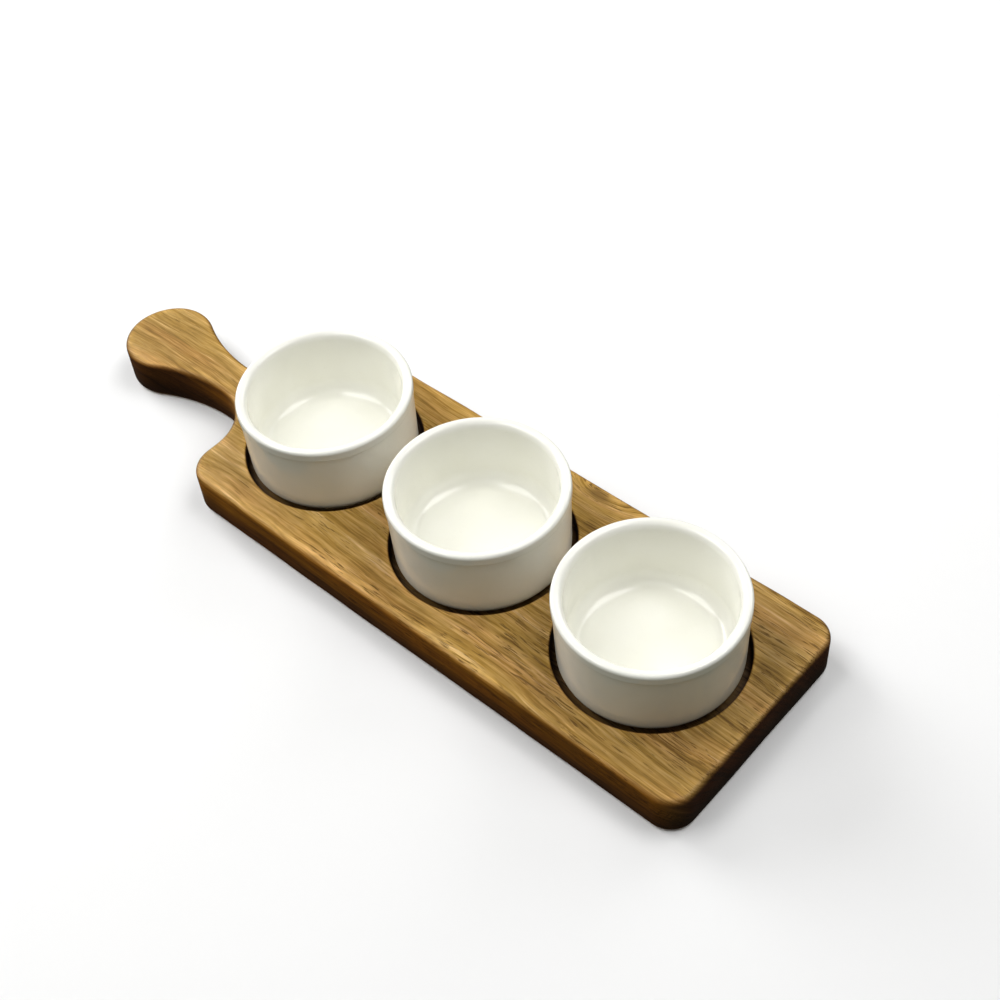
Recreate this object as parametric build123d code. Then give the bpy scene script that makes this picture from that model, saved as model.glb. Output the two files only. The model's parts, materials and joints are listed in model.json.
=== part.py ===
from build123d import *
import math
import os

# Chip and dip server: a paddle-shaped wooden board with three round recesses in a row, and a
# small glazed dish that stands loose in each recess.
#
# Millimetres. The origin is the middle of the board's length and width, on the plane that the
# board rests on. +X runs from the handle to the square end, +Z is up.

# Board
BOARD_LENGTH = 400.0
BOARD_WIDTH = 117.0
BOARD_THICKNESS = 21.5
END_CORNER_RADIUS = 12.5
EDGE_RADIUS = 3.0

# Handle, a paddle end of the same plank: a round knob, a long waist and two hollow shoulders
KNOB_RADIUS = 23.2
WAIST_HALF_WIDTH = 10.2
WAIST_RADIUS = 86.0
SHOULDER_X = -99.7
SHOULDER_HOLLOW_RADIUS = 25.0
SHOULDER_CORNER_RADIUS = 16.0

# Row of recesses
RECESS_SPACING = 97.0
MIDDLE_RECESS_X = 44.5
RECESS_RADIUS = 43.6
RECESS_DEPTH = 7.0
RECESS_MOUTH_RADIUS = 0.8
RECESS_FLOOR_RADIUS = 1.2
SAME_RADIUS = 0.01

# Dish, measured from the plane of its foot
DISH_HEIGHT = 44.0
DISH_RADIUS = 42.0
LIP_WIDTH = 5.2
LIP_DEPTH = 5.4
LIP_STEP = 0.5
WALL_TAPER = 0.6
WALL_FOOT_RISE = 6.0
INNER_TAPER = 0.6
FLOOR_TOP = 7.6
COVE_RADIUS = 8.0
FOOT_OUTER_RADIUS = 36.8
FOOT_INNER_RADIUS = 33.4
FOOT_DEPTH = 1.5
FOOT_SLOPE = 0.6

# Rounding of the dish's corners, in the order that its section is drawn
FOOT_ROOT_RADIUS = 0.6
FOOT_EDGE_RADIUS = 0.7
HEEL_RADIUS = 5.0
LIP_STEP_RADIUS = 0.5
LIP_OUTER_RADIUS = 1.6
LIP_INNER_RADIUS = 3.4

DISHES = ("ramekin_handle_end", "ramekin_middle", "ramekin_far_end")


def on_circle(centre, radius, degrees):
    """The point at an angle on a circle in the board's plane."""
    turn = math.radians(degrees)
    return (centre[0] + radius * math.cos(turn), centre[1] + radius * math.sin(turn))


def arc(centre, radius, start, end):
    """An arc about a centre, from one angle to another, in degrees."""
    middle = (start + end) / 2
    points = [on_circle(centre, radius, angle) for angle in (start, middle, end)]
    return ThreePointArc(*points)


def board_outline():
    """The board's plan: one half is drawn from the knob to the square end, then mirrored."""
    tip = -BOARD_LENGTH / 2
    end = BOARD_LENGTH / 2
    side = BOARD_WIDTH / 2
    knob = (tip + KNOB_RADIUS, 0)
    waist_y = WAIST_HALF_WIDTH + WAIST_RADIUS
    reach = math.sqrt((KNOB_RADIUS + WAIST_RADIUS) ** 2 - waist_y**2)
    waist = (knob[0] + reach, waist_y)
    meeting = math.degrees(math.atan2(waist_y, reach))
    hollow = (SHOULDER_X - SHOULDER_HOLLOW_RADIUS, WAIST_HALF_WIDTH + SHOULDER_HOLLOW_RADIUS)
    shoulder = (SHOULDER_X + SHOULDER_CORNER_RADIUS, side - SHOULDER_CORNER_RADIUS)
    corner = (end - END_CORNER_RADIUS, side - END_CORNER_RADIUS)
    with BuildSketch() as plan:
        with BuildLine():
            arc(knob, KNOB_RADIUS, 180, meeting)
            arc(waist, WAIST_RADIUS, meeting - 180, -90)
            Line((waist[0], WAIST_HALF_WIDTH), (hollow[0], WAIST_HALF_WIDTH))
            arc(hollow, SHOULDER_HOLLOW_RADIUS, -90, 0)
            Line((SHOULDER_X, hollow[1]), (SHOULDER_X, shoulder[1]))
            arc(shoulder, SHOULDER_CORNER_RADIUS, 180, 90)
            Line((shoulder[0], side), (corner[0], side))
            arc(corner, END_CORNER_RADIUS, 90, 0)
            Line((end, corner[1]), (end, 0))
            mirror(about=Plane.XZ)
        make_face()
    return plan.sketch


def recess_places():
    """Centres of the recesses on the board's long axis, from the handle to the square end."""
    return [MIDDLE_RECESS_X + step * RECESS_SPACING for step in (-1, 0, 1)]


def recess_edges(board):
    """The recesses' round edges in groups by height, floors first and mouths last."""
    rounds = board.edges().filter_by(GeomType.CIRCLE)
    walls = rounds.filter_by(lambda edge: abs(edge.radius - RECESS_RADIUS) < SAME_RADIUS)
    return walls.group_by(Axis.Z)


def serving_board():
    """The plank with its rounded edges and its three blind recesses."""
    recess_floor = BOARD_THICKNESS - RECESS_DEPTH
    with BuildPart() as board:
        add(board_outline())
        extrude(amount=BOARD_THICKNESS)
        rims = board.faces().filter_by(Axis.Z).edges()
        fillet(rims, EDGE_RADIUS)
        with Locations(*[(x, 0, recess_floor) for x in recess_places()]):
            Cylinder(
                RECESS_RADIUS,
                RECESS_DEPTH,
                align=(Align.CENTER, Align.CENTER, Align.MIN),
                mode=Mode.SUBTRACT,
            )
        fillet(recess_edges(board)[-1], RECESS_MOUTH_RADIUS)
        fillet(recess_edges(board)[0], RECESS_FLOOR_RADIUS)
    return board.part


def ramekin():
    """A dish turned about its axis: foot ring, tapered wall, rounded lip, coved flat floor."""
    wall_top = DISH_RADIUS - LIP_STEP
    wall_foot = wall_top - WALL_TAPER
    lip_underside = DISH_HEIGHT - LIP_DEPTH
    mouth = DISH_RADIUS - LIP_WIDTH
    section = (
        (0, FOOT_DEPTH),
        (FOOT_INNER_RADIUS, FOOT_DEPTH),
        (FOOT_INNER_RADIUS + FOOT_SLOPE, 0),
        (FOOT_OUTER_RADIUS, 0),
        (wall_foot, WALL_FOOT_RISE),
        (wall_top, lip_underside),
        (DISH_RADIUS, lip_underside + LIP_STEP),
        (DISH_RADIUS, DISH_HEIGHT),
        (mouth, DISH_HEIGHT),
        (mouth - INNER_TAPER, FLOOR_TOP),
        (0, FLOOR_TOP),
    )
    rounding = (
        FOOT_ROOT_RADIUS,
        FOOT_EDGE_RADIUS,
        FOOT_EDGE_RADIUS,
        HEEL_RADIUS,
        LIP_STEP_RADIUS,
        LIP_STEP_RADIUS,
        LIP_OUTER_RADIUS,
        LIP_INNER_RADIUS,
        COVE_RADIUS,
    )
    with BuildPart() as dish:
        with BuildSketch(Plane.XZ):
            with BuildLine():
                FilletPolyline(*section, radius=rounding)
                Line(section[-1], section[0])
            make_face()
        revolve(axis=Axis.Z)
    return dish.part


def write_parts():
    """Each piece goes in a file of its own, named after it."""
    os.makedirs("parts", exist_ok=True)
    export_step(serving_board(), "parts/serving_board.step")
    dish = ramekin()
    for name, x in zip(DISHES, recess_places()):
        place = Location((x, 0, BOARD_THICKNESS - RECESS_DEPTH))
        export_step(dish.moved(place), f"parts/{name}.step")


write_parts()
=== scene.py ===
import json
import math

import bmesh
import bpy
from mathutils import Matrix, Vector, geometry, noise


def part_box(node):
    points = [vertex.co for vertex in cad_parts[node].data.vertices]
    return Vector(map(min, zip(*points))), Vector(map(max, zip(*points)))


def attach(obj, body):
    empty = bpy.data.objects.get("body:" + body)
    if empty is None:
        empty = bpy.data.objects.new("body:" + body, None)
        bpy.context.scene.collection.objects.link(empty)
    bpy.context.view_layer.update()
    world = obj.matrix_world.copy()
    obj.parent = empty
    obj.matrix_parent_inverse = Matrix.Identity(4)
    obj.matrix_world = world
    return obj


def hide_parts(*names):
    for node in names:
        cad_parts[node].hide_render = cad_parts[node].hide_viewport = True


# Chip and dip server: an oiled wooden paddle board with three glazed dip dishes standing in it.
# Metres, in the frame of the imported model: +X from the handle to the square end, +Z up.

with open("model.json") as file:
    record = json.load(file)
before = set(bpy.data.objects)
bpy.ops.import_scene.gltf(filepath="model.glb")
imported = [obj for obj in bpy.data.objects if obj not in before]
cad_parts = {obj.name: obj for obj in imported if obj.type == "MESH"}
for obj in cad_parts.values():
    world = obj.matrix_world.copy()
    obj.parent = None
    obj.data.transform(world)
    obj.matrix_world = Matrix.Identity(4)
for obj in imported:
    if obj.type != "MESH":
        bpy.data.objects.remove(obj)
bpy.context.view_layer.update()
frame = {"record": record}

MM = 0.001
BOARD = "serving_board"
DISHES = ("ramekin_handle_end", "ramekin_middle", "ramekin_far_end")
BODY_OF = {
    node: body for body, nodes in frame["record"]["behaviour"]["bodies"].items() for node in nodes
}

board_low, board_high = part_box(BOARD)

# Board plan, as the CAD model has it
KNOB_RADIUS = 23.2 * MM
WAIST_HALF_WIDTH = 10.2 * MM
WAIST_RADIUS = 86.0 * MM
SHOULDER_X = -99.7 * MM
SHOULDER_HOLLOW_RADIUS = 25.0 * MM
SHOULDER_CORNER_RADIUS = 16.0 * MM
END_CORNER_RADIUS = 12.5 * MM
RECESS_RADIUS = 43.6 * MM
RECESS_MOUTH_RADIUS = 0.8 * MM
RECESS_FLOOR_RADIUS = 1.2 * MM

# How the board's edges are sanded: the radius wanders about a mean along the outline
EDGE_RADIUS = 2.4 * MM
EDGE_RADIUS_WANDER = 0.8 * MM
EDGE_WANDER_LENGTH = 30 * MM
SIDE_WANDER = 0.5 * MM
SIDE_WANDER_LENGTH = 52 * MM
OUTLINE_STEP = 1.2 * MM
EDGE_STEPS = 8
TOP_SEED = 1
BOTTOM_SEED = 5
SIDE_SEED_STEP = 2

# Mesh of the flat faces: an even grid, kept a share of its cell away from lines and holes, whose
# triangles are joined where they are flat and square enough
FACE_GRID = 3.2 * MM
GRID_CLEARANCE = 0.45
MERGE_DISTANCE = 1e-7
TRIANGLES_IN_HULL = 0
JOIN_FLATNESS = 0.1
JOIN_SQUARENESS = 0.6

# Vertices this far beside a rounding keep the shading of the flat parts clean
SUPPORT = 0.35 * MM
SUPPORT_ROOM = 3 * SUPPORT

# Mesh of a recess: shares of its radius at which rings lie on its floor
RECESS_SEGMENTS = 120
RECESS_ROUNDING_STEPS = 5
RECESS_FLOOR_RINGS = (0.9, 0.7, 0.45, 0.2)
# Rings less than this share of the mouth's rounding below the face get rubbed wear and painted
# highlight
MOUTH_HIGHLIGHT_SHARE = 0.5

# Dish section, measured from the plane of its foot, as the CAD model has it
LIP_WIDTH = 5.2 * MM
LIP_DEPTH = 5.4 * MM
LIP_STEP = 0.5 * MM
WALL_TAPER = 0.6 * MM
WALL_FOOT_RISE = 6.0 * MM
INNER_TAPER = 0.6 * MM
FLOOR_TOP = 7.6 * MM
COVE_RADIUS = 8.0 * MM
FOOT_OUTER_RADIUS = 36.8 * MM
FOOT_INNER_RADIUS = 33.4 * MM
FOOT_DEPTH = 1.5 * MM
FOOT_SLOPE = 0.6 * MM
FOOT_ROOT_RADIUS = 0.6 * MM
FOOT_EDGE_RADIUS = 0.7 * MM
HEEL_RADIUS = 5.0 * MM
LIP_STEP_RADIUS = 0.5 * MM
LIP_OUTER_RADIUS = 1.6 * MM
LIP_INNER_RADIUS = 3.4 * MM

# Mesh of a dish, its unevenness, how high the bare foot reaches, and how high the painted wood
# reflection and shade reach
DISH_SEGMENTS = 192
DISH_ROUNDING_STEPS = 9
DISH_STEP = 3 * MM
DISH_SEED_STEP = 5.3
SWELL = 0.06 * MM
SWELL_LENGTH = 24 * MM
BARE_HEIGHT = 0.5 * MM
WOOD_REFLECTION_HEIGHT = 14 * MM


# ---------------------------------------------------------------- outline and section helpers


def arc_points(centre, radius, start, end, step):
    """(point, outward normal) along an arc in the plane; a hollow arc has its angles backwards."""
    count = max(2, math.ceil(abs(math.radians(end - start)) * radius / step))
    hollow = -1 if end > start else 1
    out = []
    for index in range(count + 1):
        turn = math.radians(start + (end - start) * index / count)
        ray = Vector((math.cos(turn), math.sin(turn)))
        out.append((Vector(centre) + ray * radius, ray * hollow))
    return out


def line_points(start, end, step):
    """(point, outward normal) along a straight run, its ends left out."""
    start, end = Vector(start), Vector(end)
    run = end - start
    count = max(1, math.ceil(run.length / step))
    normal = Vector((-run.y, run.x)).normalized()
    return [(start + run * index / count, normal) for index in range(1, count)]


def board_outline():
    """(point, outward normal) round the board's plan, clockwise from the tip of the knob."""
    tip, end, side = board_low.x, board_high.x, board_high.y
    knob = (tip + KNOB_RADIUS, 0)
    waist_y = WAIST_HALF_WIDTH + WAIST_RADIUS
    reach = math.sqrt((KNOB_RADIUS + WAIST_RADIUS) ** 2 - waist_y**2)
    waist = (knob[0] + reach, waist_y)
    meeting = math.degrees(math.atan2(waist_y, reach))
    hollow = (SHOULDER_X - SHOULDER_HOLLOW_RADIUS, WAIST_HALF_WIDTH + SHOULDER_HOLLOW_RADIUS)
    shoulder = (SHOULDER_X + SHOULDER_CORNER_RADIUS, side - SHOULDER_CORNER_RADIUS)
    corner = (end - END_CORNER_RADIUS, side - END_CORNER_RADIUS)
    step = OUTLINE_STEP
    half = arc_points(knob, KNOB_RADIUS, 180, meeting, step)
    half += arc_points(waist, WAIST_RADIUS, meeting - 180, -90, step)[1:]
    half += line_points((waist[0], WAIST_HALF_WIDTH), (hollow[0], WAIST_HALF_WIDTH), step)
    half += arc_points(hollow, SHOULDER_HOLLOW_RADIUS, -90, 0, step)
    half += line_points((SHOULDER_X, hollow[1]), (SHOULDER_X, shoulder[1]), step)
    half += arc_points(shoulder, SHOULDER_CORNER_RADIUS, 180, 90, step)
    half += line_points((shoulder[0], side), (corner[0], side), step)
    half += arc_points(corner, END_CORNER_RADIUS, 90, 0, step)
    half += line_points((end, corner[1]), (end, 0), step)
    flip = Vector((1, -1))
    back = [(point * flip, normal * flip) for point, normal in reversed(half[1:])]
    return half + [(Vector((end, 0)), Vector((1, 0)))] + back


def corner_arc(before, corner, after, radius, steps):
    """Points along the rounding of one corner of a path."""
    into = (before - corner).normalized()
    out = (after - corner).normalized()
    half_angle = into.angle(out) / 2
    reach = radius / math.tan(half_angle)
    centre = corner + (into + out).normalized() * (radius / math.sin(half_angle))
    first = corner + into * reach - centre
    last = corner + out * reach - centre
    sweep = first.angle(last)
    arc = []
    for index in range(steps + 1):
        share = index / steps
        ray = first * math.sin(sweep * (1 - share)) + last * math.sin(sweep * share)
        arc.append(centre + ray / math.sin(sweep))
    return arc


def rounded_path(points, radii, steps):
    """A path with its inner corners rounded, and support points beside each rounding."""
    points = [Vector(point) for point in points]
    corners = zip(points, points[1:], points[2:], radii)
    stretches = [[points[0]], *(corner_arc(*corner, steps) for corner in corners), [points[-1]]]
    path = [points[0]]
    for before, after in zip(stretches, stretches[1:]):
        run = after[0] - before[-1]
        if run.length > SUPPORT_ROOM:
            beside = run.normalized() * SUPPORT
            if len(before) > 1:
                path.append(before[-1] + beside)
            if len(after) > 1:
                path.append(after[0] - beside)
        path += after
    return path


# ------------------------------------------------------------------------------------- meshes


def mesh_object(name, builder, material):
    """An object in the scene, made from a bmesh."""
    mesh = bpy.data.meshes.new(name)
    builder.to_mesh(mesh)
    builder.free()
    mesh.materials.append(material)
    made = bpy.data.objects.new(name, mesh)
    bpy.context.scene.collection.objects.link(made)
    return made


def new_piece(name, builder, material, node):
    """A smooth piece that takes the place of a CAD node and rides on that node's body."""
    piece = mesh_object(name, builder, material)
    piece.data.shade_smooth()
    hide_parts(node)
    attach(piece, BODY_OF[node])


def bridge(builder, lower, upper):
    """A closed band of quads between two rings of as many vertices."""
    count = len(lower)
    for index in range(count):
        after = (index + 1) % count
        builder.faces.new((lower[index], lower[after], upper[after], upper[index]))


def fan(builder, ring, pole):
    """Triangles from a closed ring of vertices to one in its middle."""
    count = len(ring)
    for index in range(count):
        builder.faces.new((ring[index], ring[(index + 1) % count], pole))


def cap_with_holes(builder, loops, height):
    """Fills a flat face inside the first loop and outside the others, with an even grid inside."""
    corners, edges = [], []
    for loop in loops:
        first = len(corners)
        corners += [vertex.co.xy for vertex in loop]
        edges += [(first + i, first + (i + 1) % len(loop)) for i in range(len(loop))]
    own = [vertex for loop in loops for vertex in loop]
    outer, holes = loops[0], loops[1:]
    outer_line = [vertex.co.xy for vertex in outer]
    circles = [hole_circle(loop) for loop in holes]
    low = Vector((min(p.x for p in outer_line), min(p.y for p in outer_line)))
    high = Vector((max(p.x for p in outer_line), max(p.y for p in outer_line)))
    seeds = []
    for column in range(int((high.x - low.x) / FACE_GRID) + 1):
        for row in range(int((high.y - low.y) / FACE_GRID) + 1):
            spot = low + Vector((column + 0.5, row + 0.5)) * FACE_GRID
            if is_inside(spot, outer_line, circles, FACE_GRID * GRID_CLEARANCE):
                seeds.append(spot)
    flat = geometry.delaunay_2d_cdt(
        corners + seeds, edges, [], TRIANGLES_IN_HULL, MERGE_DISTANCE
    )
    spots, triangles, sources = flat[0], flat[2], flat[3]
    made = []
    for spot, source in zip(spots, sources):
        known = [index for index in source if index < len(own)]
        made.append(own[known[0]] if known else builder.verts.new((spot.x, spot.y, height)))
    faces = []
    for triangle in triangles:
        middle = sum((spots[index] for index in triangle), Vector((0, 0))) / 3
        if is_inside(middle, outer_line, circles, 0):
            faces.append(builder.faces.new([made[index] for index in triangle]))
    return faces


def hole_circle(loop):
    """Centre and radius of a round loop of vertices."""
    centre = sum((vertex.co.xy for vertex in loop), Vector((0, 0))) / len(loop)
    return centre, (loop[0].co.xy - centre).length


def is_inside(spot, line, circles, margin):
    """Whether a spot is inside a closed line and outside circles, by at least a margin."""
    for centre, radius in circles:
        if (spot - centre).length < radius + margin:
            return False
    crossings = False
    for start, end in zip(line, line[1:] + line[:1]):
        if (start.y > spot.y) != (end.y > spot.y):
            across = start.x + (spot.y - start.y) / (end.y - start.y) * (end.x - start.x)
            crossings ^= spot.x < across
        if margin and (spot - start).length < margin:
            return False
    return crossings


def wander(place, length, seed):
    """Smooth noise from -1 to 1 at a place, with the given wavelength."""
    return noise.noise(Vector((place.x, place.y, seed * length)) / length)


def edge_ring(builder, outline, top, angle):
    """A ring on the sanded edge: angle 0 meets the flat face and a right angle meets the side."""
    rub_and_highlight = builder.verts.layers.float["rub_and_highlight"]
    seed = TOP_SEED if top else BOTTOM_SEED
    ring = []
    for point, normal in outline:
        drift = wander(point, EDGE_WANDER_LENGTH, seed)
        radius = EDGE_RADIUS + EDGE_RADIUS_WANDER * drift
        side_drift = wander(point, SIDE_WANDER_LENGTH, seed + SIDE_SEED_STEP)
        sanded = SIDE_WANDER * (1 + side_drift) / 2
        inset = radius * (1 - math.sin(angle)) + sanded
        rise = radius * (1 - math.cos(angle))
        height = board_high.z - board_low.z - rise if top else rise
        spot = point - normal * inset
        vertex = builder.verts.new((spot.x, spot.y, board_low.z + height))
        # rubbed wear and painted highlight, strongest where the rounding meets the flat face
        vertex[rub_and_highlight] = math.cos(angle) ** 2
        ring.append(vertex)
    return ring


def board_mesh():
    """The plank: hand-sanded edges, flat faces and three routed recesses."""
    builder = bmesh.new()
    for name in ("rub_and_highlight", "hollow"):
        builder.verts.layers.float.new(name)
    outline = board_outline()
    rings = []
    for top in (False, True):
        for step in range(EDGE_STEPS + 1):
            turned = EDGE_STEPS - step if top else step
            angle = math.radians(90) * turned / EDGE_STEPS
            rings.append(edge_ring(builder, outline, top, angle))
    for lower, upper in zip(rings, rings[1:]):
        bridge(builder, lower, upper)
    under = inner_ring(builder, rings[0], outline, board_low.z)
    over = inner_ring(builder, rings[-1], outline, board_high.z)
    bridge(builder, under, rings[0])
    bridge(builder, rings[-1], over)
    mouths = [recess(builder, name) for name in DISHES]
    faces = cap_with_holes(builder, [over, *mouths], board_high.z)
    faces += cap_with_holes(builder, [under], board_low.z)
    bmesh.ops.join_triangles(
        builder,
        faces=faces,
        angle_face_threshold=JOIN_FLATNESS,
        angle_shape_threshold=JOIN_SQUARENESS,
    )
    bmesh.ops.recalc_face_normals(builder, faces=builder.faces)
    return builder


def inner_ring(builder, ring, outline, height):
    """A support ring on the flat face, just inside the end of the edge's rounding."""
    rub_and_highlight = builder.verts.layers.float["rub_and_highlight"]
    out = []
    for vertex, (_, normal) in zip(ring, outline):
        spot = vertex.co.xy - normal * SUPPORT
        out.append(builder.verts.new((spot.x, spot.y, height)))
        # full rubbed wear and painted highlight at the edge of the flat face
        out[-1][rub_and_highlight] = 1.0
    return out


def recess(builder, dish):
    """A routed round recess with a softened mouth. Gives back the ring that meets the face."""
    low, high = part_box(dish)
    centre = (low + high) / 2
    floor = low.z
    top = board_high.z
    section = (
        (RECESS_RADIUS + RECESS_MOUTH_RADIUS + SUPPORT, top),
        (RECESS_RADIUS, top),
        (RECESS_RADIUS, floor),
        (0, floor),
    )
    rounding = (RECESS_MOUTH_RADIUS, RECESS_FLOOR_RADIUS)
    path = rounded_path(section, rounding, RECESS_ROUNDING_STEPS)
    inner = [RECESS_RADIUS * share for share in RECESS_FLOOR_RINGS]
    path = path[:-1] + [Vector((radius, floor)) for radius in inner]
    hollow = builder.verts.layers.float["hollow"]
    rub_and_highlight = builder.verts.layers.float["rub_and_highlight"]
    rings = []
    for radius, height in path:
        ring = []
        depth = (top - height) / RECESS_MOUTH_RADIUS
        for index in range(RECESS_SEGMENTS):
            turn = math.tau * index / RECESS_SEGMENTS
            spot = centre.xy + Vector((math.cos(turn), math.sin(turn))) * radius
            ring.append(builder.verts.new((spot.x, spot.y, height)))
            # painted shade: darker deeper down and nearer the wall
            ring[-1][hollow] = min(1, depth) * (radius / RECESS_RADIUS) ** 2
            # rubbed wear and painted highlight on the top of the mouth
            ring[-1][rub_and_highlight] = 1.0 if depth < MOUTH_HIGHLIGHT_SHARE else 0.0
        rings.append(ring)
    for outer, nearer in zip(rings, rings[1:]):
        bridge(builder, outer, nearer)
    fan(builder, rings[-1], builder.verts.new((centre.x, centre.y, floor)))
    return rings[0]


def dish_path(radius, height):
    """The dish's half section, from the middle of its base over the rim to its floor."""
    wall_top = radius - LIP_STEP
    wall_foot = wall_top - WALL_TAPER
    lip_underside = height - LIP_DEPTH
    mouth = radius - LIP_WIDTH
    section = (
        (0, FOOT_DEPTH),
        (FOOT_INNER_RADIUS, FOOT_DEPTH),
        (FOOT_INNER_RADIUS + FOOT_SLOPE, 0),
        (FOOT_OUTER_RADIUS, 0),
        (wall_foot, WALL_FOOT_RISE),
        (wall_top, lip_underside),
        (radius, lip_underside + LIP_STEP),
        (radius, height),
        (mouth, height),
        (mouth - INNER_TAPER, FLOOR_TOP),
        (0, FLOOR_TOP),
    )
    rounding = (
        FOOT_ROOT_RADIUS,
        FOOT_EDGE_RADIUS,
        FOOT_EDGE_RADIUS,
        HEEL_RADIUS,
        LIP_STEP_RADIUS,
        LIP_STEP_RADIUS,
        LIP_OUTER_RADIUS,
        LIP_INNER_RADIUS,
        COVE_RADIUS,
    )
    return subdivide(rounded_path(section, rounding, DISH_ROUNDING_STEPS), DISH_STEP)


def dish_mesh(dish, seed):
    """A turned dish with the small unevenness of slip-cast, hand-glazed ware."""
    low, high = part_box(dish)
    centre = (low + high) / 2
    radius = (high.y - low.y) / 2
    path = dish_path(radius, high.z - low.z)
    rim = max(range(len(path)), key=lambda index: path[index].y)
    builder = bmesh.new()
    for name in ("bare", "wood_reflection"):
        builder.verts.layers.float.new(name)
    bare = builder.verts.layers.float["bare"]
    wood_reflection = builder.verts.layers.float["wood_reflection"]
    rings = []
    for number, spot in enumerate(path[1:-1], 1):
        # painted reflection of the wood and painted shade, fading up the outer wall
        reflected_share = max(0, 1 - spot.y / WOOD_REFLECTION_HEIGHT) if number < rim else 0
        ring = []
        for index in range(DISH_SEGMENTS):
            turn = math.tau * index / DISH_SEGMENTS
            out = Vector((math.cos(turn), math.sin(turn), 0))
            place = out * spot.x + Vector((0, 0, spot.y))
            swell = noise.noise(place / SWELL_LENGTH + Vector((seed, 0, 0))) * SWELL
            place += out * (swell * min(1, spot.x / radius))
            vertex = builder.verts.new(place + Vector((centre.x, centre.y, low.z)))
            vertex[bare] = 1.0 if spot.y < BARE_HEIGHT else 0.0
            vertex[wood_reflection] = reflected_share
            ring.append(vertex)
        rings.append(ring)
    for lower, upper in zip(rings, rings[1:]):
        bridge(builder, lower, upper)
    for ring, spot in ((rings[0], path[0]), (rings[-1], path[-1])):
        pole = builder.verts.new((centre.x, centre.y, low.z + spot.y))
        pole[wood_reflection] = ring[0][wood_reflection]
        fan(builder, ring, pole)
    bmesh.ops.recalc_face_normals(builder, faces=builder.faces)
    return builder


def subdivide(path, longest):
    """The path with its long runs cut into equal steps."""
    out = [path[0]]
    for start, end in zip(path, path[1:]):
        count = max(1, math.ceil((end - start).length / longest))
        out += [start.lerp(end, index / count) for index in range(1, count + 1)]
    return out


# ---------------------------------------------------------------------------------- materials


# Noise mostly stays in this part of 0 to 1
NOISE_LOW = 0.3
NOISE_HIGH = 0.7


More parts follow.
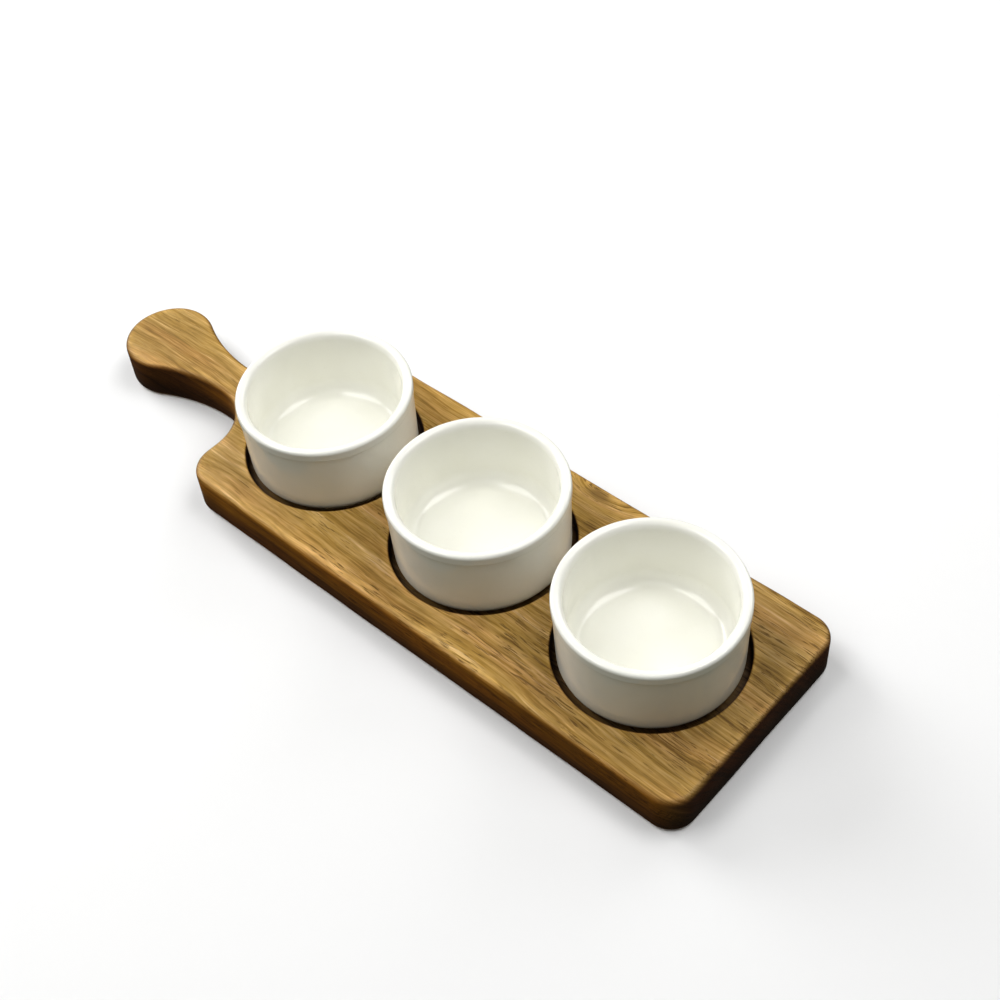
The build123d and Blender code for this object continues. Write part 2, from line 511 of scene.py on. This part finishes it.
class Shader:
    """A material's node tree, with short calls for the nodes that the finishes are made of."""

    def __init__(self, name):
        self.material = bpy.data.materials.new(name)
        self.material.use_nodes = True
        self.tree = self.material.node_tree
        self.surface = self.tree.nodes["Principled BSDF"]

    def put(self, value, socket):
        """Links an output to a socket, or sets the socket to a value."""
        if isinstance(value, bpy.types.NodeSocket):
            self.tree.links.new(value, socket)
        else:
            socket.default_value = value

    def node(self, kind, inputs, **settings):
        """Adds a node, with settings and inputs by name or number."""
        made = self.tree.nodes.new(kind)
        for key, value in settings.items():
            setattr(made, key, value)
        for key, value in inputs.items():
            self.put(value, made.inputs[key])
        return made

    def maths(self, operation, *values):
        """A number from one to three numbers."""
        inputs = dict(enumerate(values))
        return self.node("ShaderNodeMath", inputs, operation=operation).outputs[0]

    def vector(self, operation, *values):
        """A vector from vectors."""
        made = self.node("ShaderNodeVectorMath", {}, operation=operation)
        for socket, value in zip(made.inputs, values):
            self.put(value, socket)
        return made.outputs[1 if operation in ("LENGTH", "DOT_PRODUCT", "DISTANCE") else 0]

    def place(self):
        """Position in the row frame, in millimetres."""
        coordinates = self.node("ShaderNodeTexCoord", {}).outputs["Object"]
        inputs = {0: coordinates, "Scale": 1 / MM}
        return self.node("ShaderNodeVectorMath", inputs, operation="SCALE").outputs[0]

    def attribute(self, name):
        """A number kept on the mesh."""
        made = self.node("ShaderNodeAttribute", {}, attribute_name=name)
        return made.outputs["Fac"]

    def parts(self, vector):
        """The three numbers of a vector."""
        return self.node("ShaderNodeSeparateXYZ", {0: vector}).outputs

    def noise(self, place, size, detail=2.0, roughness=0.5, shift=(0, 0, 0), colour=False):
        """Noise from 0 to 1, or a noise colour. Its lumps measure size (x, y, z) in millimetres."""
        stretched = self.vector("DIVIDE", place, size)
        inputs = {
            "Vector": self.vector("ADD", stretched, shift),
            "Scale": 1.0,
            "Detail": detail,
            "Roughness": roughness,
            "Distortion": 0.0,
        }
        return self.node("ShaderNodeTexNoise", inputs).outputs[1 if colour else 0]

    def noise_range(self, value, to_low, to_high):
        """Noise moved evenly to a range, by the part of 0 to 1 that noise mostly fills."""
        return self.remap(value, NOISE_LOW, NOISE_HIGH, to_low, to_high, smooth=False)

    def remap(self, value, low, high, to_low=0.0, to_high=1.0, smooth=True):
        """A number's range moved to another, held at its ends."""
        kind = "SMOOTHSTEP" if smooth else "LINEAR"
        inputs = {0: value, 1: low, 2: high, 3: to_low, 4: to_high}
        made = self.node("ShaderNodeMapRange", inputs, interpolation_type=kind)
        return made.outputs[0]

    def ramp(self, value, stops):
        """A colour from a number, by (position, colour) stops."""
        made = self.node("ShaderNodeValToRGB", {0: value})
        band = made.color_ramp
        while len(band.elements) < len(stops):
            band.elements.new(0.5)
        for element, (position, colour) in zip(band.elements, stops):
            element.position = position
            element.color = (*colour, 1)
        return made.outputs[0]

    def mix(self, share, first, second, blend="MIX"):
        """Two colours mixed by a share."""
        made = self.node("ShaderNodeMix", {}, data_type="RGBA", blend_type=blend)
        self.put(share, made.inputs[0])
        for value, socket in ((first, made.inputs[6]), (second, made.inputs[7])):
            self.put((*value, 1) if isinstance(value, tuple) else value, socket)
        return made.outputs[2]

    def shade(self, colour, factor):
        """A colour made lighter or darker by a factor."""
        grey = self.node("ShaderNodeCombineColor", {0: factor, 1: factor, 2: factor}).outputs[0]
        return self.mix(1.0, colour, grey, "MULTIPLY")

    def bump(self, height, depth, below=None):
        """A bump of a depth in metres, over another if there is one."""
        inputs = {"Height": height, "Distance": depth, "Strength": 1.0}
        if below is not None:
            inputs["Normal"] = below
        return self.node("ShaderNodeBump", inputs).outputs[0]

    def set(self, **inputs):
        """Sets or links the surface's inputs; an underscore stands for a space."""
        for key, value in inputs.items():
            self.put(value, self.surface.inputs[key.replace("_", " ")])


# Knot on the far edge, between the middle and far dishes, in millimetres. Shares of its size say
# where its dark heart begins and ends and how far out it bends the grain
KNOT_CENTRE = (70.0, 53.0, 21.0)
KNOT_SIZE = (15.0, 6.0, 14.0)
KNOT_EDGE = 0.75
KNOT_HEART = 0.15
KNOT_REACH = 2.4
KNOT_PUSH = 7.0

# Middle of the growth rings, in millimetres across and below the board, and the grain's slant.
# Ring angles count as distances at the spread, and the grain sways and ripples across its run
PITH_Y = -150.0
PITH_Z = -95.0
GRAIN_SLANT = 0.02
RING_SPREAD = 150
SWAY = 12
RIPPLE = 4.5

# What the wood's tone is made of: size of the lumps along, through and round the growth rings in
# millimetres, detail, shift and share
TONE_LAYERS = {
    "growth": ((420, 5.2, 400), 2.0, (0, 1.3, 0), 0.30),
    "streaks": ((52, 2.1, 45), 3.0, (6.4, 2.6, 4.6), 0.38),
    "lines": ((24, 0.75, 20), 2.0, (8, 4, 2), 0.32),
}
TONE_LOW = 0.36
TONE_HIGH = 0.64
WOOD_TONES = (
    (0.0, (0.165, 0.084, 0.013)),
    (0.25, (0.270, 0.150, 0.029)),
    (0.50, (0.380, 0.224, 0.058)),
    (0.75, (0.475, 0.294, 0.096)),
    (1.0, (0.600, 0.400, 0.180)),
)
PATCH_LOW = 0.34
PATCH_HIGH = 0.66
PATCH_TINTS = (
    (0.0, (0.92, 0.91, 0.74)),
    (0.5, (1.0, 1.0, 0.97)),
    (1.0, (1.11, 1.04, 1.08)),
)
FINE_ROUGHNESS = 0.6

# Open pores: two sizes of vessel with their shifts, in millimetres, and how dark they are
PORE_LAYERS = (((19, 0.66, 0.66), (2, 7, 5)), ((10, 0.48, 0.48), (9, 3, 8)))
PORE_SOFTNESS = 0.06
PORE_DARKNESS = 0.78
PORE_COLOUR = (0.095, 0.044, 0.008)
KNOT_DARKNESS = 0.60
KNOT_COLOUR = (0.085, 0.040, 0.010)

# Painted shade multiplies the colour: on the ends (over their real end-grain oil stain), on the long
# sides, on the handle's sides, low down on every side, and in the recesses
END_STAIN_AND_SHADE = (0.12, 0.045, 0.01)
SIDE_PAINTED_SHADE = (0.56, 0.34, 0.03)
HANDLE_PAINTED_SHADE = (0.16, 0.08, 0.03)
LOW_PAINTED_SHADE = (0.22, 0.15, 0.10)
RECESS_PAINTED_SHADE = (0.13, 0.09, 0.06)
SIDE_SHADE_SHARPNESS = 1.5
HANDLE_SHADE_SHARE = 0.8

# Paleness: everywhere, added at the long edges and at the square end, and on rounded edges and
# recess mouths as rubbed wear and painted highlight
BASE_PALENESS = 0.98
EDGE_PALENESS = 0.11
END_PALENESS = 0.15
RUB_AND_HIGHLIGHT_PALENESS = 0.65

# Roughness of the oiled face, and what pores, fibres and upright faces change in it
OILED_ROUGHNESS = (0.40, 0.56)
PORE_ROUGHNESS = 0.25
FIBRE_ROUGHNESS = -0.25
UPRIGHT_ROUGHNESS = 0.42
WOOD_SPECULAR = 0.2

PORE_DEPTH = 0.10 * MM
FIBRE_DEPTH = 0.05 * MM
STREAK_DEPTH = 0.10 * MM


def wood_material():
    """Oiled acacia: growth bands, streaks, fibres, open pores, a knot, and sides dark with painted
    shade and end-grain oil.
    """
    s = Shader("oiled_acacia")
    place = s.place()
    along, grain, knot = grain_space(s, place)
    colour, streaks = wood_tone(s, grain)
    colour = s.mix(1.0, colour, patch_tint(s, grain), "MULTIPLY")
    # darker towards the square end
    colour = s.shade(colour, s.remap(along, 60, 190, 1.03, 0.88))

    fibre = s.noise(grain, (16, 0.42, 0.42), roughness=FINE_ROUGHNESS, shift=(1, 1, 3))
    colour = s.shade(colour, s.noise_range(fibre, 0.84, 1.14))
    figure = s.noise(grain, (9, 26, 26), shift=(6, 6, 1))
    colour = s.shade(colour, s.noise_range(figure, 0.92, 1.07))

    pores = pore_mask(s, grain, along)
    colour = s.mix(s.maths("MULTIPLY", pores, PORE_DARKNESS), colour, PORE_COLOUR)
    colour = s.mix(s.maths("MULTIPLY", knot, KNOT_DARKNESS), colour, KNOT_COLOUR)
    # the sides get painted shade
    colour, upright = side_painted_shade(s, colour, place)
    # paler edges and end, with rubbed wear and painted highlight on the roundings
    colour = s.shade(colour, paleness_and_highlight(s, place, fibre))
    # painted shade in the recesses
    colour = s.mix(s.attribute("hollow"), colour, RECESS_PAINTED_SHADE, "MULTIPLY")

    relief = s.bump(s.maths("SUBTRACT", 1.0, pores), PORE_DEPTH)
    relief = s.bump(fibre, FIBRE_DEPTH, relief)
    relief = s.bump(streaks, STREAK_DEPTH, relief)
    gloss = wood_roughness(s, place, pores, fibre, upright)
    s.set(Base_Color=colour, Roughness=gloss, Normal=relief)
    s.surface.inputs["Specular IOR Level"].default_value = WOOD_SPECULAR
    return s.material


def wood_tone(s, grain):
    """Colour of the growth bands, streaks and lines together, and the streaks alone."""
    layers = {}
    tone = 0.0
    for name, (size, detail, shift, share) in TONE_LAYERS.items():
        layer = s.noise(grain, size, detail=detail, roughness=FINE_ROUGHNESS, shift=shift)
        tone = s.maths("MULTIPLY_ADD", layer, share, tone)
        layers[name] = layer
    colour = s.ramp(s.remap(tone, TONE_LOW, TONE_HIGH, smooth=False), WOOD_TONES)
    return colour, layers["streaks"]


def patch_tint(s, grain):
    """Slow changes of hue along the plank, from olive to reddish brown."""
    patch = s.noise(grain, (90, 9, 60), shift=(3, 9, 4))
    return s.ramp(s.remap(patch, PATCH_LOW, PATCH_HIGH, smooth=False), PATCH_TINTS)


def wood_roughness(s, place, pores, fibre, upright):
    """Smeared oil, duller in the pores, between the fibres and on the upright faces."""
    smear = s.noise(place, (26, 12, 12), detail=3.0, shift=(1, 8, 2))
    gloss = s.noise_range(smear, *OILED_ROUGHNESS)
    gloss = s.maths("MULTIPLY_ADD", pores, PORE_ROUGHNESS, gloss)
    gloss = s.maths("MULTIPLY_ADD", s.maths("SUBTRACT", fibre, 0.5), FIBRE_ROUGHNESS, gloss)
    return s.maths("MULTIPLY_ADD", upright, UPRIGHT_ROUGHNESS, gloss)


def sideways(s, colour, amount):
    """A sideways shift, across the board's length, from a noise colour."""
    centred = s.vector("SUBTRACT", colour, (0.5, 0.5, 0.5))
    return s.vector("MULTIPLY", centred, (0, amount, amount))


def grain_space(s, place):
    """Distance along the board, place along and across the growth rings, and the knot's share."""
    sway = sideways(s, s.noise(place, (190, 70, 70), detail=1.0, colour=True), SWAY)
    ripple = sideways(s, s.noise(place, (44, 15, 15), shift=(7, 3, 1), colour=True), RIPPLE)
    bent = s.vector("ADD", s.vector("ADD", place, sway), ripple)

    from_knot = s.vector("DIVIDE", s.vector("SUBTRACT", place, KNOT_CENTRE), KNOT_SIZE)
    distance = s.vector("LENGTH", from_knot)
    knot = s.remap(distance, KNOT_EDGE, KNOT_HEART)
    swirl = s.remap(distance, KNOT_REACH, 0.0)

    along = s.parts(place)[0]
    _, bent_y, bent_z = s.parts(bent)
    across = s.maths("SUBTRACT", s.maths("MULTIPLY_ADD", along, GRAIN_SLANT, bent_y), PITH_Y)
    depth = s.maths("SUBTRACT", bent_z, PITH_Z)
    squares = s.maths("ADD", s.maths("MULTIPLY", across, across), s.maths("MULTIPLY", depth, depth))
    ring = s.maths("MULTIPLY_ADD", swirl, KNOT_PUSH, s.maths("SQRT", squares))
    around = s.maths("MULTIPLY", s.maths("ARCTAN2", depth, across), RING_SPREAD)
    grain = s.node("ShaderNodeCombineXYZ", {0: along, 1: ring, 2: around}).outputs[0]
    return along, grain, knot


def pore_mask(s, grain, along):
    """Thin dark open pores along the grain, crowded in some growth bands and towards the end."""
    crowd = s.noise(grain, (60, 6, 20), shift=(4, 4, 6))
    crowd = s.maths("ADD", crowd, s.remap(along, -120, 110, -0.18, 0.07))
    limit = s.remap(crowd, 0.30, 0.62, 0.20, 0.395, smooth=False)
    masks = []
    for size, shift in PORE_LAYERS:
        vessels = s.noise(grain, size, detail=1.0, shift=shift)
        masks.append(s.remap(s.maths("SUBTRACT", limit, vessels), 0.0, PORE_SOFTNESS))
    return s.maths("MAXIMUM", *masks)


def side_painted_shade(s, colour, place):
    """Painted shade on the sides over real oil stain on the end grain, darkest low down and at the
    handle, and how upright they are.
    """
    facing = s.parts(s.node("ShaderNodeTexCoord", {}).outputs["Normal"])
    along, _, height = s.parts(place)
    end_grain = s.maths("POWER", s.maths("ABSOLUTE", facing[0]), SIDE_SHADE_SHARPNESS)
    side_grain = s.maths("POWER", s.maths("ABSOLUTE", facing[1]), SIDE_SHADE_SHARPNESS)
    upright = s.maths("SUBTRACT", 1.0, s.maths("ABSOLUTE", facing[2]))
    # end faces: painted shade over real end-grain oil stain; long sides, next: painted shade
    colour = s.mix(end_grain, colour, END_STAIN_AND_SHADE, "MULTIPLY")
    colour = s.mix(side_grain, colour, SIDE_PAINTED_SHADE, "MULTIPLY")
    # painted shade on the handle's upright sides
    handle_shade = s.maths("MULTIPLY", upright, s.remap(along, -115, -160))
    handle_shade = s.maths("MULTIPLY", handle_shade, HANDLE_SHADE_SHARE)
    colour = s.mix(handle_shade, colour, HANDLE_PAINTED_SHADE, "MULTIPLY")
    # painted shade, darker towards the bottom of every upright face
    lower = s.maths("MULTIPLY", upright, s.remap(height, 17, 1))
    return s.mix(lower, colour, LOW_PAINTED_SHADE, "MULTIPLY"), upright


def paleness_and_highlight(s, place, fibre):
    """How much paler the edges are, with rubbed wear and painted highlight on the roundings, more so
    where the fibres stand up.
    """
    along, across, _ = s.parts(place)
    rim = s.remap(s.maths("ABSOLUTE", across), 38, 55, 0.0, EDGE_PALENESS)
    rim = s.maths("MAXIMUM", rim, s.remap(along, 182, 196, 0.0, END_PALENESS))
    scuff_and_highlight_noise = s.noise(place, (11, 5, 5), shift=(3, 5, 9))
    share = s.maths("MULTIPLY", s.attribute("rub_and_highlight"), s.maths("MULTIPLY", scuff_and_highlight_noise, fibre))
    return s.maths("ADD", s.maths("MULTIPLY_ADD", share, RUB_AND_HIGHLIGHT_PALENESS, rim), BASE_PALENESS)


# Glaze: its mottled white, a painted warm reflection of the wood and painted shade low down,
# pinholes, and the bare ware of the foot ring
GLAZE_TONES = (
    (0.0, (0.915, 0.910, 0.825)),
    (0.5, (0.930, 0.925, 0.846)),
    (1.0, (0.942, 0.938, 0.868)),
)
WOOD_REFLECTION_TINT = (0.86, 0.78, 0.56)
PINHOLE_COLOUR = (0.42, 0.36, 0.27)
PINHOLE_DARKNESS = 0.35
BARE_TONES = ((0.3, (0.56, 0.50, 0.41)), (0.7, (0.70, 0.65, 0.56)))
GLAZE_ROUGHNESS = (0.10, 0.17)
BARE_ROUGHNESS = 0.65
GLAZE_SPECULAR = 0.5
COAT_WEIGHT = 0.12
COAT_ROUGHNESS = 0.04
RIPPLE_DEPTH = 0.10 * MM
PINHOLE_DEPTH = 0.03 * MM
GRIT_DEPTH = 0.08 * MM


def glaze_material():
    """White gloss glaze with a painted wood reflection and shade low down: mottling, ripples,
    pinholes, bare foot.
    """
    s = Shader("white_glaze")
    place = s.place()
    bare = s.attribute("bare")
    cloud = s.noise(place, (26, 26, 26), detail=3.0)
    colour = s.ramp(s.noise_range(cloud, 0.0, 1.0), GLAZE_TONES)
    pinholes = s.remap(s.noise(place, (0.55, 0.55, 0.55), detail=1.0), 0.76, 0.80)
    colour = s.mix(s.maths("MULTIPLY", pinholes, PINHOLE_DARKNESS), colour, PINHOLE_COLOUR)
    # painted warm reflection of the wood and painted shade, low on the outer wall
    wood_reflection = s.remap(s.attribute("wood_reflection"), 0.0, 1.0)
    colour = s.mix(wood_reflection, colour, WOOD_REFLECTION_TINT, "MULTIPLY")
    grit = s.noise(place, (0.35, 0.35, 0.35))
    colour = s.mix(bare, colour, s.ramp(grit, BARE_TONES))

    haze = s.noise(place, (12, 12, 12), shift=(5, 2, 7))
    gloss = s.noise_range(haze, *GLAZE_ROUGHNESS)
    gloss = s.maths("MULTIPLY_ADD", bare, BARE_ROUGHNESS, gloss)

    relief = s.bump(s.noise(place, (6.5, 6.5, 6.5), detail=1.5, shift=(9, 1, 4)), RIPPLE_DEPTH)
    relief = s.bump(s.maths("SUBTRACT", 1.0, pinholes), PINHOLE_DEPTH, relief)
    relief = s.bump(s.maths("MULTIPLY", grit, bare), GRIT_DEPTH, relief)
    s.set(Base_Color=colour, Roughness=gloss, Normal=relief)
    s.surface.inputs["Specular IOR Level"].default_value = GLAZE_SPECULAR
    s.surface.inputs["Coat Weight"].default_value = COAT_WEIGHT
    s.surface.inputs["Coat Roughness"].default_value = COAT_ROUGHNESS
    return s.material


# ------------------------------------------------------------------------------ stage and view

FLOOR_SIZE = 40.0
FLOOR_CELLS = 8
FLOOR_COLOUR = (0.86, 0.86, 0.855)
FLOOR_ROUGHNESS = 0.9
FLOOR_SPECULAR = 0.1
BACKDROP_COLOUR = (0.90, 0.90, 0.895)
BACKDROP_RADIUS = 19.0
BACKDROP_SUBDIVISIONS = 4
FADE_FROM = 0.5
FADE_TO = 1.6


def even_paleness(s):
    """The backdrop's colour, the same in any light."""
    return s.node("ShaderNodeEmission", {0: (*BACKDROP_COLOUR, 1)}).outputs[0]


def floor_material():
    """A pale matt floor that fades into the backdrop's even paleness, away from the board."""
    s = Shader("pale_floor")
    s.surface.inputs["Base Color"].default_value = (*FLOOR_COLOUR, 1)
    s.surface.inputs["Roughness"].default_value = FLOOR_ROUGHNESS
    s.surface.inputs["Specular IOR Level"].default_value = FLOOR_SPECULAR
    spot = s.node("ShaderNodeTexCoord", {}).outputs["Object"]
    fade = s.remap(s.vector("LENGTH", spot), FADE_FROM, FADE_TO)
    inputs = {0: fade, 1: s.surface.outputs[0], 2: even_paleness(s)}
    both = s.node("ShaderNodeMixShader", inputs).outputs[0]
    s.put(both, s.tree.nodes["Material Output"].inputs[0])
    return s.material


def backdrop_material():
    """An even pale backdrop."""
    s = Shader("pale_backdrop")
    s.put(even_paleness(s), s.tree.nodes["Material Output"].inputs[0])
    return s.material


def stage_piece(name, builder, material):
    """Something round the object that is only seen, and sends it no light."""
    made = mesh_object(name, builder, material)
    made.visible_diffuse = False
    made.visible_glossy = False
    return made


def stage():
    """A plain pale floor under the board, inside a pale round backdrop."""
    builder = bmesh.new()
    bmesh.ops.create_grid(
        builder, x_segments=FLOOR_CELLS, y_segments=FLOOR_CELLS, size=FLOOR_SIZE / 2
    )
    stage_piece("floor", builder, floor_material()).location.z = board_low.z
    builder = bmesh.new()
    bmesh.ops.create_icosphere(
        builder, subdivisions=BACKDROP_SUBDIVISIONS, radius=BACKDROP_RADIUS
    )
    backdrop = stage_piece("backdrop", builder, backdrop_material())
    backdrop.visible_shadow = False


# Soft lights: azimuth, elevation and power. Two high ones each side of the camera, one low on the
# handle's side, one low behind and a weak one high in front
SOFT_LIGHTS = {
    "high_right": (135, 62, 11.2),
    "high_left": (315, 62, 11.2),
    "low_left": (270, 30, 17.3),
    "low_back": (180, 30, 7.0),
    "high_front": (30, 55, 2.2),
}
LIGHT_TARGET = Vector((0, 0, 0.03))
LIGHT_DISTANCE = 1.6
LIGHT_SIDE = 0.9
SKY = (0.03, 0.03, 0.03)
GROUND = (0.200, 0.200, 0.150)
HORIZON_SOFTNESS = 0.1


def outward(azimuth, elevation):
    """A direction away from the board, in degrees: azimuth 0 is its near side and 90 its far end."""
    turn, rise = math.radians(azimuth), math.radians(elevation)
    return Vector((
        math.sin(turn) * math.cos(rise),
        -math.cos(turn) * math.cos(rise),
        math.sin(rise),
    ))


def soft_light(name, azimuth, elevation, power):
    """A square soft light that faces the board."""
    light = bpy.data.lights.new(name, "AREA")
    light.size = LIGHT_SIDE
    light.energy = power
    made = bpy.data.objects.new(name, light)
    away = outward(azimuth, elevation)
    made.location = LIGHT_TARGET + away * LIGHT_DISTANCE
    made.rotation_euler = away.to_track_quat("Z", "Y").to_euler()
    bpy.context.scene.collection.objects.link(made)


def studio():
    """Soft lights round the board, and a dim room that is a little lighter below."""
    for name, (azimuth, elevation, power) in SOFT_LIGHTS.items():
        soft_light(name, azimuth, elevation, power)
    world = bpy.data.worlds.new("room")
    bpy.context.scene.world = world
    world.use_nodes = True
    tree = world.node_tree
    direction = tree.nodes.new("ShaderNodeTexCoord").outputs["Generated"]
    split = tree.nodes.new("ShaderNodeSeparateXYZ")
    tree.links.new(direction, split.inputs[0])
    height = tree.nodes.new("ShaderNodeMapRange")
    height.inputs[1].default_value = -HORIZON_SOFTNESS
    height.inputs[2].default_value = HORIZON_SOFTNESS
    tree.links.new(split.outputs[2], height.inputs[0])
    band = tree.nodes.new("ShaderNodeValToRGB")
    band.color_ramp.elements[0].color = (*GROUND, 1)
    band.color_ramp.elements[1].color = (*SKY, 1)
    tree.links.new(height.outputs[0], band.inputs[0])
    tree.links.new(band.outputs[0], tree.nodes["Background"].inputs[0])


# The camera looks at a point near the middle dish, from over the board's near square corner
CAMERA_AIM = Vector((0.0470, 0.0109, 0.0400))
CAMERA_DISTANCE = 0.7143
CAMERA_AZIMUTH = 45.8
CAMERA_ELEVATION = 48.8
CAMERA_ROLL = -5.72
CAMERA_LENS = 56.98
CLIP_START = 0.01
CLIP_END = 50


def camera():
    """The photograph's view, with no shift and no depth of field."""
    data = bpy.data.cameras.new("camera")
    data.lens = CAMERA_LENS
    data.clip_start = CLIP_START
    data.clip_end = CLIP_END
    made = bpy.data.objects.new("camera", data)
    away = outward(CAMERA_AZIMUTH, CAMERA_ELEVATION)
    upright = away.to_track_quat("Z", "Y").to_matrix().to_4x4()
    roll = Matrix.Rotation(math.radians(CAMERA_ROLL), 4, "Z")
    made.matrix_world = Matrix.Translation(CAMERA_AIM + away * CAMERA_DISTANCE) @ upright @ roll
    bpy.context.scene.collection.objects.link(made)
    bpy.context.scene.camera = made


camera()
wood = wood_material()
glaze = glaze_material()
new_piece("board", board_mesh(), wood, BOARD)
for number, dish in enumerate(DISHES):
    builder = dish_mesh(dish, number * DISH_SEED_STEP)
    new_piece(dish.replace("ramekin", "dish"), builder, glaze, dish)
stage()
studio()
bpy.context.scene.view_settings.view_transform = "Standard"
